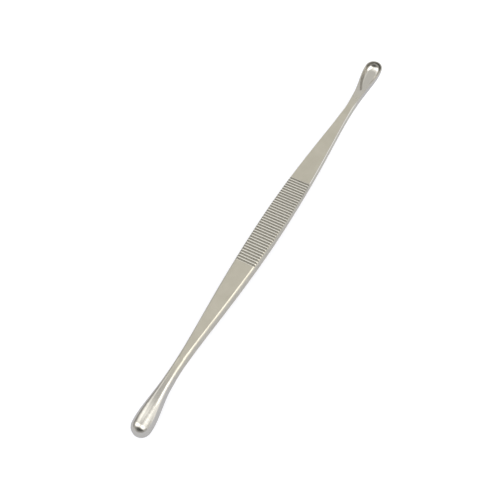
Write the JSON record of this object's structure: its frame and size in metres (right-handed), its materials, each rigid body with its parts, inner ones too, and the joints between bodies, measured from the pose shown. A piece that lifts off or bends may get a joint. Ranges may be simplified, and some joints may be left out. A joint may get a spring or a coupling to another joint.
{
  "type": "double-ended spoon curette",
  "caption": "Forged steel curette with a small sharp-rimmed spoon at each end, one opening up and one down, and a flat handle with grooves cut across the grip.",
  "frame": {"origin": "middle of the instrument, halfway between the tips of the spoons and between the two flats of the grip", "axes": "+X along the instrument to the spoon that opens upward, +Y across it, +Z out of the flat on the side that this spoon opens to"},
  "size_m": [0.17, 0.0084, 0.0086],
  "materials": {
    "steel": "satin stainless steel, flats ground matt, spoons and edges polished brighter"
  },
  "bodies": {
    "root": {"curette": "steel"}
  },
  "joints": []
}
